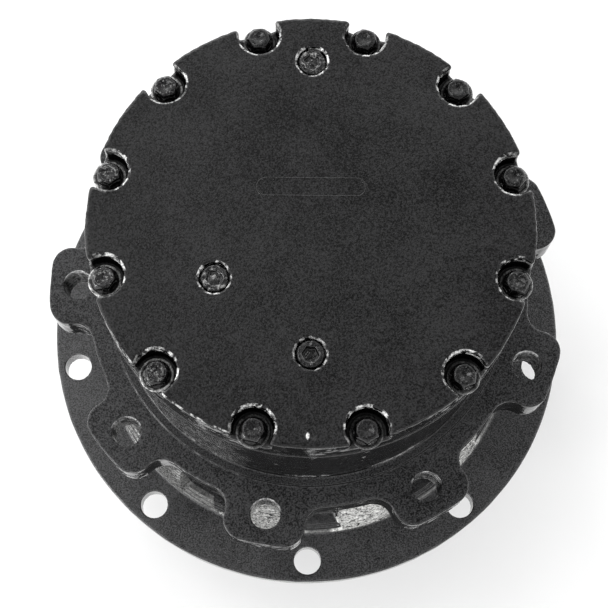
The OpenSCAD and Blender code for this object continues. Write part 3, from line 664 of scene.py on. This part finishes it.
def bump(nt, height, distance, strength=1.0, before=None):
    n = nt.nodes.new("ShaderNodeBump")
    n.inputs["Distance"].default_value = distance
    n.inputs["Strength"].default_value = strength
    nt.links.new(height, n.inputs["Height"])
    if before is not None:
        nt.links.new(before, n.inputs["Normal"])
    return n.outputs["Normal"]


def calc(nt, op, a, b=None, c=None):
    n = nt.nodes.new("ShaderNodeMath")
    n.operation = op
    for k, v in enumerate((a, b, c)):
        if v is None:
            continue
        if isinstance(v, (int, float)):
            n.inputs[k].default_value = v
        else:
            nt.links.new(v, n.inputs[k])
    return n.outputs[0]


def between(nt, value, lo, hi, soft):
    """1 between lo and hi, falling to 0 over soft on either side."""
    a = ranged(nt, value, lo - soft, lo, 0.0, 1.0)
    b = ranged(nt, value, hi, hi + soft, 1.0, 0.0)
    return calc(nt, "MULTIPLY", a, b)


def mixed(nt, factor, a, b):
    n = nt.nodes.new("ShaderNodeMix")
    n.data_type = "RGBA"
    nt.links.new(factor, n.inputs["Factor"])
    nt.links.new(a, n.inputs[6])
    nt.links.new(b, n.inputs[7])
    return n.outputs[2]


def paint(name, level, rough=(0.15, 0.26), grain=0.0001, peel=0.00007, coarse=0.0, slot=False, bare=False, wall_highlight=False, glint_specks=0.0, hole_glints=None, matt=1.7, sheen=0.5, collar_glints=False):
    """Black paint over a casting: fine grain and orange peel, glossier on the upright faces and painted darker there as
    painted shade. The options are sand texture; light bare patches on the boss ribs, partly worn bare cast metal and
    partly painted highlight, brighter towards the front; a mottled painted highlight band and painted highlight streaks
    on the left and front of the hub wall; light specks that are painted glints; painted glints on the bolt collars and
    heads; painted highlights on the far rims of the holes; and painted highlights on the cover's pocket and plug rims,
    its front edge and its nick.
    """
    m, nt, bsdf, co = material(name)
    fine = noise_node(nt, co, 1150, 1.5, 0.6)
    mid = noise_node(nt, co, 260, 3.0, 0.5)
    big = noise_node(nt, co, 26, 4.0, 0.55)
    sep = nt.nodes.new("ShaderNodeSeparateXYZ")
    nt.links.new(co, sep.inputs[0])
    px, py, pz = sep.outputs
    radius = calc(nt, "SQRT", calc(nt, "ADD", calc(nt, "MULTIPLY", px, px), calc(nt, "MULTIPLY", py, py)))
    facing = nt.nodes.new("ShaderNodeSeparateXYZ")
    nt.links.new(nt.nodes.new("ShaderNodeNewGeometry").outputs["Normal"], facing.inputs[0])
    top = ranged(nt, calc(nt, "ABSOLUTE", facing.outputs["Z"]), 0.55, 0.93, 0.0, 1.0)
    mix = calc(nt, "ADD", calc(nt, "MULTIPLY", fine.outputs["Fac"], 0.82), calc(nt, "MULTIPLY", big.outputs["Fac"], 0.18))
    a, b, w = level * 0.15, level * 2.1, level * 0.11
    colour = ramp(nt, mix, [(0.4, (a, a, a * 1.02)), (0.6, (b, b, b * 1.03))])
    # Upright faces get a far darker colour than level faces: painted shade on the walls.
    upright_shade = ramp(nt, mix, [(0.4, (w * 0.6, w * 0.6, w * 0.61)), (0.6, (w * 1.5, w * 1.5, w * 1.53))])
    colour = mixed(nt, top, upright_shade, colour)
    tall = nt.nodes.new("ShaderNodeMapping")
    tall.inputs["Scale"].default_value = (1, 1, 0.45)
    nt.links.new(co, tall.inputs["Vector"])
    sand = noise_node(nt, tall.outputs["Vector"], 330, 5.0, 0.75)
    speck_in = noise_node(nt, tall.outputs["Vector"], 700, 3.0, 0.7)
    if bare:
        # Light grey speckled patches on the front boss ribs and left pocket lips, fading towards the back: partly worn
        # bare cast metal, partly painted highlight.
        on_boss = calc(nt, "MULTIPLY", between(nt, radius, 0.1304, 0.1402, 0.0004), between(nt, pz, 0.0165, 0.2, 0.001))
        highlight_patch = calc(nt, "MAXIMUM", between(nt, px, 0.018, 0.053, 0.003), between(nt, px, 0.099, 0.115, 0.003))
        highlight_patch = calc(nt, "MAXIMUM", highlight_patch, calc(nt, "MULTIPLY", between(nt, px, -0.055, 0.0, 0.004), 0.55))
        highlight_patch = calc(nt, "MAXIMUM", calc(nt, "MULTIPLY", highlight_patch, calc(nt, "LESS_THAN", py, 0.0)), ranged(nt, py, -0.06, 0.02, 0.2, 0.04))
        lips = calc(nt, "MULTIPLY", between(nt, radius, 0.1300, 0.1368, 0.0002), calc(nt, "LESS_THAN", pz, 0.0216))
        on_boss = calc(nt, "MULTIPLY", on_boss, calc(nt, "SUBTRACT", 1.0, calc(nt, "MULTIPLY", lips, calc(nt, "GREATER_THAN", px, -0.06))))
        speck = ranged(nt, sand.outputs["Fac"], 0.37, 0.47, 0.0, 1.0)
        painted_highlight = calc(nt, "MULTIPLY", calc(nt, "MULTIPLY", speck, on_boss), highlight_patch)
        colour = mixed(nt, painted_highlight, colour, ramp(nt, speck_in.outputs["Fac"], [(0.35, (0.2, 0.2, 0.195)), (0.6, (0.85, 0.85, 0.83))]))
    if wall_highlight:
        # Painted highlight: a mottled light band on the left of the hub wall, where the light falls.
        band = between(nt, pz, 0.119, 0.2, 0.012)
        lit_left = calc(nt, "MULTIPLY", between(nt, px, -0.095, -0.06, 0.04), ranged(nt, py, -0.03, 0.01, 1.0, 0.0))
        lit_left = ranged(nt, calc(nt, "ADD", lit_left, big.outputs["Fac"]), 0.85, 1.15, 0.0, 1.0)
        spots = calc(nt, "MULTIPLY", ranged(nt, sand.outputs["Fac"], 0.42, 0.6, 0.15, 1.0), ranged(nt, mid.outputs["Fac"], 0.4, 0.62, 0.25, 1.0))
        painted_highlight = calc(nt, "MULTIPLY", calc(nt, "MULTIPLY", spots, band), calc(nt, "MULTIPLY", lit_left, calc(nt, "SUBTRACT", 1.0, top)))
        colour = mixed(nt, painted_highlight, colour, ramp(nt, speck_in.outputs["Fac"], [(0.3, (0.08, 0.08, 0.08)), (0.7, (0.26, 0.26, 0.26))]))
        # Painted highlights: light streaks along the front of the wall's foot.
        wide_highlight = calc(nt, "MULTIPLY", between(nt, px, 0.05, 0.058, 0.015), between(nt, pz, 0.1196, 0.1236, 0.0018))
        thin_highlight = calc(nt, "MULTIPLY", between(nt, px, -0.012, 0.012, 0.002), between(nt, pz, 0.1196, 0.1245, 0.001))
        streak_highlight = calc(nt, "MAXIMUM", wide_highlight, calc(nt, "MULTIPLY", thin_highlight, ranged(nt, mid.outputs["Fac"], 0.44, 0.52, 0.0, 0.7)))
        streak_highlight = calc(nt, "MULTIPLY", streak_highlight, calc(nt, "LESS_THAN", py, 0.0))
        streak_highlight = calc(nt, "MULTIPLY", streak_highlight, ranged(nt, sand.outputs["Fac"], 0.4, 0.5, 0.35, 1.0))
        colour = mixed(nt, streak_highlight, colour, ramp(nt, fine.outputs["Fac"], [(0.35, (0.2, 0.2, 0.2)), (0.6, (0.6, 0.6, 0.6))]))
    if glint_specks:
        # Painted glints: light specks, fainter on the front plug.
        painted_highlight = calc(nt, "MULTIPLY", ranged(nt, sand.outputs["Fac"], 0.54, 0.62, 0.0, glint_specks), ranged(nt, py, -0.065, -0.05, 0.12, 1.0))
        colour = mixed(nt, painted_highlight, colour, ramp(nt, fine.outputs["Fac"], [(0.3, (0.2, 0.2, 0.2)), (0.7, (0.5, 0.5, 0.49))]))
    if collar_glints:
        # Painted highlights: a light ring on each bolt collar and specks on the heads, strongest on the left bolts.
        turn = calc(nt, "DIVIDE", calc(nt, "SUBTRACT", calc(nt, "ARCTAN2", py, px), math.radians(15)), math.radians(30))
        local = calc(nt, "MULTIPLY", calc(nt, "SUBTRACT", calc(nt, "FRACT", calc(nt, "ADD", turn, 12.5)), 0.5), math.radians(30))
        du = calc(nt, "SUBTRACT", calc(nt, "MULTIPLY", radius, calc(nt, "COSINE", local)), 0.1126)
        dv = calc(nt, "MULTIPLY", radius, calc(nt, "SINE", local))
        off = calc(nt, "SQRT", calc(nt, "ADD", calc(nt, "MULTIPLY", du, du), calc(nt, "MULTIPLY", dv, dv)))
        ring = calc(nt, "MULTIPLY", between(nt, off, 0.0078, 0.0092, 0.0003), ranged(nt, mid.outputs["Fac"], 0.4, 0.55, 0.2, 1.0))
        head_glints = calc(nt, "MULTIPLY", between(nt, off, -1.0, 0.0052, 0.0004), ranged(nt, speck_in.outputs["Fac"], 0.55, 0.62, 0.0, 0.4))
        where = calc(nt, "MAXIMUM", ranged(nt, px, -0.025, -0.07, 0.1, 0.85), ranged(nt, px, 0.06, 0.09, 0.0, 0.35))
        colour = mixed(nt, calc(nt, "MULTIPLY", calc(nt, "MAXIMUM", ring, head_glints), where), colour, ramp(nt, fine.outputs["Fac"], [(0.35, (0.25, 0.25, 0.25)), (0.6, (0.8, 0.8, 0.79))]))
    if hole_glints:
        # Painted highlights on the far rims of the through holes, at the front.
        count, first, pitch, amount = hole_glints
        turn = calc(nt, "DIVIDE", calc(nt, "SUBTRACT", calc(nt, "ARCTAN2", py, px), math.radians(first)), 2 * math.pi / count)
        local = calc(nt, "MULTIPLY", calc(nt, "SUBTRACT", calc(nt, "FRACT", calc(nt, "ADD", turn, count + 0.5)), 0.5), 2 * math.pi / count)
        du = calc(nt, "SUBTRACT", calc(nt, "MULTIPLY", radius, calc(nt, "COSINE", local)), pitch)
        dv = calc(nt, "MULTIPLY", radius, calc(nt, "SINE", local))
        off = calc(nt, "SQRT", calc(nt, "ADD", calc(nt, "MULTIPLY", du, du), calc(nt, "MULTIPLY", dv, dv)))
        rim_highlight = calc(nt, "MULTIPLY", calc(nt, "MULTIPLY", between(nt, off, 0.0080, 0.00905, 0.0002), calc(nt, "SUBTRACT", 1.0, top)), 0.3)
        rim_highlight = calc(nt, "MAXIMUM", rim_highlight, calc(nt, "MULTIPLY", between(nt, off, 0.0087, 0.0093, 0.0002), ranged(nt, mid.outputs["Fac"], 0.42, 0.5, 0.15, 1.0)))
        far = calc(nt, "DIVIDE", calc(nt, "ADD", calc(nt, "MULTIPLY", du, py), calc(nt, "MULTIPLY", dv, px)), radius)
        rim_highlight = calc(nt, "MULTIPLY", rim_highlight, calc(nt, "MULTIPLY", ranged(nt, far, 0.002, 0.006, 0.0, amount), ranged(nt, py, 0.055, 0.075, 1.0, 0.12)))
        colour = mixed(nt, rim_highlight, colour, ramp(nt, speck_in.outputs["Fac"], [(0.35, (0.15, 0.15, 0.15)), (0.6, (0.65, 0.65, 0.65))]))
    if slot:
        # Painted highlights: light speckled rings on the pocket and plug rims, a light line along the cover's
        # front-left edge and a light spot on the nick.
        turn = calc(nt, "DIVIDE", calc(nt, "SUBTRACT", calc(nt, "ARCTAN2", py, px), math.radians(15)), math.radians(30))
        local = calc(nt, "MULTIPLY", calc(nt, "SUBTRACT", calc(nt, "FRACT", calc(nt, "ADD", turn, 12.5)), 0.5), math.radians(30))
        du = calc(nt, "SUBTRACT", calc(nt, "MULTIPLY", radius, calc(nt, "COSINE", local)), 0.1126)
        dv = calc(nt, "MULTIPLY", radius, calc(nt, "SINE", local))
        off = calc(nt, "SQRT", calc(nt, "ADD", calc(nt, "MULTIPLY", du, du), calc(nt, "MULTIPLY", dv, dv)))
        wobble = calc(nt, "MULTIPLY", calc(nt, "SUBTRACT", mid.outputs["Fac"], 0.5), 0.002)
        ring = between(nt, calc(nt, "ADD", off, wobble), 0.0109, 0.0124, 0.0004)
        high = between(nt, pz, 0.2335, 0.3, 0.001)
        rim_highlights = calc(nt, "MULTIPLY", calc(nt, "MULTIPLY", ring, high), ranged(nt, du, 0.001, -0.004, 0.25, 0.85))
        for (qx, qy), amount in zip(PLUG_AT, (0.8, 0.8, 0.4)):
            ex, ey = calc(nt, "SUBTRACT", px, qx * 0.001), calc(nt, "SUBTRACT", py, qy * 0.001)
            off = calc(nt, "SQRT", calc(nt, "ADD", calc(nt, "MULTIPLY", ex, ex), calc(nt, "MULTIPLY", ey, ey)))
            ring = between(nt, calc(nt, "ADD", off, wobble), 0.0077, 0.0093, 0.0003)
            rim_highlights = calc(nt, "MAXIMUM", rim_highlights, calc(nt, "MULTIPLY", ring, amount))
        edge_highlight = calc(nt, "MULTIPLY", between(nt, radius, 0.1186, 0.2, 0.0003), between(nt, pz, 0.2364, 0.3, 0.0003))
        edge_highlight = calc(nt, "MULTIPLY", edge_highlight, calc(nt, "MULTIPLY", between(nt, px, -0.09, -0.03, 0.02), calc(nt, "LESS_THAN", py, 0.0)))
        rim_highlights = calc(nt, "MAXIMUM", rim_highlights, calc(nt, "MULTIPLY", edge_highlight, 0.6))
        rim_highlights = calc(nt, "MULTIPLY", rim_highlights, ranged(nt, mid.outputs["Fac"], 0.47, 0.6, 0.0, 1.0))
        ex, ey = calc(nt, "ADD", px, 0.0012), calc(nt, "ADD", py, 0.113)
        off = calc(nt, "SQRT", calc(nt, "ADD", calc(nt, "MULTIPLY", calc(nt, "MULTIPLY", ex, ex), 4.0), calc(nt, "MULTIPLY", ey, ey)))
        rim_highlights = calc(nt, "MAXIMUM", rim_highlights, ranged(nt, off, 0.0013, 0.0021, 0.9, 0.0))
        colour = mixed(nt, rim_highlights, colour, ramp(nt, fine.outputs["Fac"], [(0.35, (0.3, 0.3, 0.3)), (0.6, (0.95, 0.95, 0.94))]))
    nt.links.new(colour, bsdf.inputs["Base Color"])
    gloss = ranged(nt, calc(nt, "ADD", mid.outputs["Fac"], big.outputs["Fac"]), 0.75, 1.25, rough[0], rough[1])
    nt.links.new(calc(nt, "MULTIPLY", gloss, ranged(nt, top, 0.0, 1.0, 0.35, matt)), bsdf.inputs["Roughness"])
    bsdf.inputs["Specular IOR Level"].default_value = sheen
    calm = ranged(nt, top, 0.0, 1.0, 0.15, 1.0)
    nrm = bump(nt, big.outputs["Fac"], 0.0006, 0.3)
    nrm = bump(nt, calc(nt, "MULTIPLY", mid.outputs["Fac"], ranged(nt, top, 0.0, 1.0, 0.4, 1.0)), peel, 0.8, nrm)
    if coarse:
        rough_sand = noise_node(nt, co, 450, 4.0, 0.65)
        nrm = bump(nt, rough_sand.outputs["Fac"], coarse, 1.0, nrm)
    nrm = bump(nt, calc(nt, "MULTIPLY", fine.outputs["Fac"], calm), grain, 1.0, nrm)
    nt.links.new(nrm, bsdf.inputs["Normal"])
    return m


def metal(name, dark, light, rough=(0.22, 0.4), scale=(300, 300, 300), strength=0.00002, metallic=1.0):
    """Machined or ground metal: faint stretched marks, slight stains."""
    m, nt, bsdf, co = material(name)
    stretch = nt.nodes.new("ShaderNodeMapping")
    stretch.inputs["Scale"].default_value = scale
    nt.links.new(co, stretch.inputs["Vector"])
    marks = noise_node(nt, stretch.outputs["Vector"], 1.0, 4.0, 0.6)
    stain = noise_node(nt, co, 45, 4.0, 0.6)
    nt.links.new(ramp(nt, stain.outputs["Fac"], [(0.35, dark), (0.65, light)]), bsdf.inputs["Base Color"])
    nt.links.new(ranged(nt, marks.outputs["Fac"], 0.3, 0.7, rough[0], rough[1]), bsdf.inputs["Roughness"])
    bsdf.inputs["Metallic"].default_value = metallic
    nt.links.new(bump(nt, marks.outputs["Fac"], strength, 0.6), bsdf.inputs["Normal"])
    return m


def rubber(name):
    m, nt, bsdf, co = material(name)
    fine = noise_node(nt, co, 700, 3.0, 0.6)
    nt.links.new(ramp(nt, fine.outputs["Fac"], [(0.3, (0.012, 0.012, 0.013)), (0.7, (0.03, 0.03, 0.032))]), bsdf.inputs["Base Color"])
    nt.links.new(ranged(nt, fine.outputs["Fac"], 0.3, 0.7, 0.55, 0.75), bsdf.inputs["Roughness"])
    nt.links.new(bump(nt, fine.outputs["Fac"], 0.00004, 0.7), bsdf.inputs["Normal"])
    return m


# Paint levels: the hub and housing are set about three times lighter than the cover, as painted light for how the light
# falls on the flanges. slot=True gives the cover its painted rim highlights.
mat_cover = paint("cover_paint", 0.0105, grain=0.00022, slot=True, sheen=0.22)
mat_hub = paint("hub_paint", 0.028, grain=0.0002, wall_highlight=True, sheen=0.2, hole_glints=(9, 20, 0.1404, 1.0))
mat_housing = paint("housing_paint", 0.033, grain=0.0002, coarse=0.00012, bare=True, hole_glints=(9, 270.5, 0.1565, 0.2))
mat_cap = paint("cap_paint", 0.015, coarse=0.00014)
mat_plug = paint("plug_paint", 0.013, rough=(0.1, 0.2), grain=0.00005, peel=0.00014, glint_specks=0.75, matt=1.0)
mat_bolt = paint("bolt_paint", 0.010, rough=(0.1, 0.2), grain=0.00005, peel=0.0001, glint_specks=0.05, matt=1.2, sheen=0.4, collar_glints=True)
mats = {
    "housing_paint": mat_housing, "hub_paint": mat_hub, "cover_paint": mat_cover, "cap_paint": mat_cap, "painted_bolt": mat_bolt,
    "zinc": metal("zinc_plate", (0.5, 0.5, 0.47), (0.68, 0.68, 0.65), (0.28, 0.45), (500, 500, 500)),
    "bolt_steel": metal("black_oxide", (0.05, 0.05, 0.055), (0.12, 0.12, 0.125), (0.3, 0.5), (600, 600, 600)),
    "spring_steel": metal("spring_steel", (0.2, 0.2, 0.21), (0.36, 0.36, 0.38), (0.25, 0.4), (700, 700, 200)),
    "machined_steel": metal("turned_steel", (0.42, 0.42, 0.43), (0.56, 0.56, 0.58), (0.25, 0.42), (60, 60, 2600)),
    "ground_steel": metal("ground_steel", (0.55, 0.55, 0.57), (0.68, 0.68, 0.7), (0.14, 0.26), (90, 90, 1800)),
    "bearing_steel": metal("bearing_steel", (0.66, 0.67, 0.69), (0.78, 0.78, 0.8), (0.06, 0.14), (200, 200, 200)),
    "gear_steel": metal("gear_steel", (0.36, 0.36, 0.38), (0.5, 0.5, 0.52), (0.2, 0.36), (200, 200, 1500)),
    "bronze": metal("sintered_bronze", (0.5, 0.34, 0.15), (0.66, 0.47, 0.24), (0.3, 0.5), (900, 900, 900)),
    "seal_rubber": rubber("seal_rubber"),
}
for sub in frame["record"]["subparts"]:
    o = frame["nodes"][sub["node"]]
    o.data.materials.clear()
    o.data.materials.append(mat_bolt if sub["node"] == "plug_seals" else mats[sub["material_slot"]])

made("cover_casting", [cover_net, bead()], mat_cover, "turning_hub", "cover_paint", "cover")
made("hub_casting", [hub_net], mat_hub, "turning_hub", "hub_paint", "hub")
made("housing_casting", [housing_net], mat_housing, "housing", "housing_paint", "frame_housing")
made("cover_flange_bolts", copies(bolt_net, bolt_at), mat_bolt, "turning_hub", "painted_bolt", "cover_bolts")
made("cover_socket_plugs", [copies(n, [at])[0] for n, at in zip(plug_nets, plug_at)], mat_plug, "turning_hub", "painted_bolt", "socket_plugs")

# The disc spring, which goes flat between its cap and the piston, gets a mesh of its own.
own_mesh(frame["nodes"]["brake_springs"])

# ------------------------------------------------------ floor and light

FLOOR_Z = cad_box[0].z
mesh = bpy.data.meshes.new("floor")
size = 6.0
mesh.from_pydata([(-size, -size, FLOOR_Z), (size, -size, FLOOR_Z), (size, size, FLOOR_Z), (-size, size, FLOOR_Z)], [], [(0, 1, 2, 3)])
floor = bpy.data.objects.new("floor", mesh)
bpy.context.scene.collection.objects.link(floor)
m, nt, bsdf, co = material("pale_floor")
n = noise_node(nt, co, 6, 3.0, 0.5)
nt.links.new(ramp(nt, n.outputs["Fac"], [(0.3, (0.925, 0.925, 0.925)), (0.7, (0.945, 0.945, 0.945))]), bsdf.inputs["Base Color"])
bsdf.inputs["Roughness"].default_value = 0.75
mesh.materials.append(m)

world = bpy.data.worlds.new("studio")
bpy.context.scene.world = world
world.use_nodes = True
nt = world.node_tree
sep = nt.nodes.new("ShaderNodeSeparateXYZ")
nt.links.new(nt.nodes.new("ShaderNodeTexCoord").outputs["Generated"], sep.inputs[0])
low = calc(nt, "SUBTRACT", 1.0, calc(nt, "ABSOLUTE", sep.outputs["Z"]))
glow = calc(nt, "MULTIPLY_ADD", low, 3.3, 0.08)
side = calc(nt, "MULTIPLY_ADD", sep.outputs["Y"], 0.4, calc(nt, "MULTIPLY_ADD", sep.outputs["X"], -0.3, 1.0))
glow = calc(nt, "MULTIPLY", glow, calc(nt, "MAXIMUM", side, 0.1))
nt.links.new(glow, nt.nodes["Background"].inputs["Strength"])
nt.nodes["Background"].inputs["Color"].default_value = (1, 1, 1, 1)


def area(name, at, look, size_x, size_y, power):
    data = bpy.data.lights.new(name, "AREA")
    data.shape = "RECTANGLE"
    data.size, data.size_y, data.energy = size_x, size_y, power
    o = bpy.data.objects.new(name, data)
    bpy.context.scene.collection.objects.link(o)
    o.location = at
    o.rotation_mode = "QUATERNION"
    o.rotation_quaternion = (Vector(look) - Vector(at)).to_track_quat("-Z", "Y")
    return o


area("key", (-2.4, -1.44, 1.14), (0, 0, 0.1), 0.48, 0.32, 21)
area("key_low", (-2.72, -1.44, 0.42), (0, 0, 0.1), 0.4, 0.26, 17)
area("fill", (1.0, -1.6, 0.7), (0, 0, 0.1), 0.26, 0.18, 3)
area("back", (-0.6, 1.6, 1.2), (0, 0, 0.1), 0.6, 0.4, 7)
area("top", (-0.6, 0.3, 2.15), (0, 0, 0.1), 0.42, 0.42, 3.5)

bpy.context.scene.view_settings.view_transform = "Standard"
bpy.context.scene.view_settings.look = "None"

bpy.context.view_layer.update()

pool.close()
print("seconds", round(time.time() - began, 1))
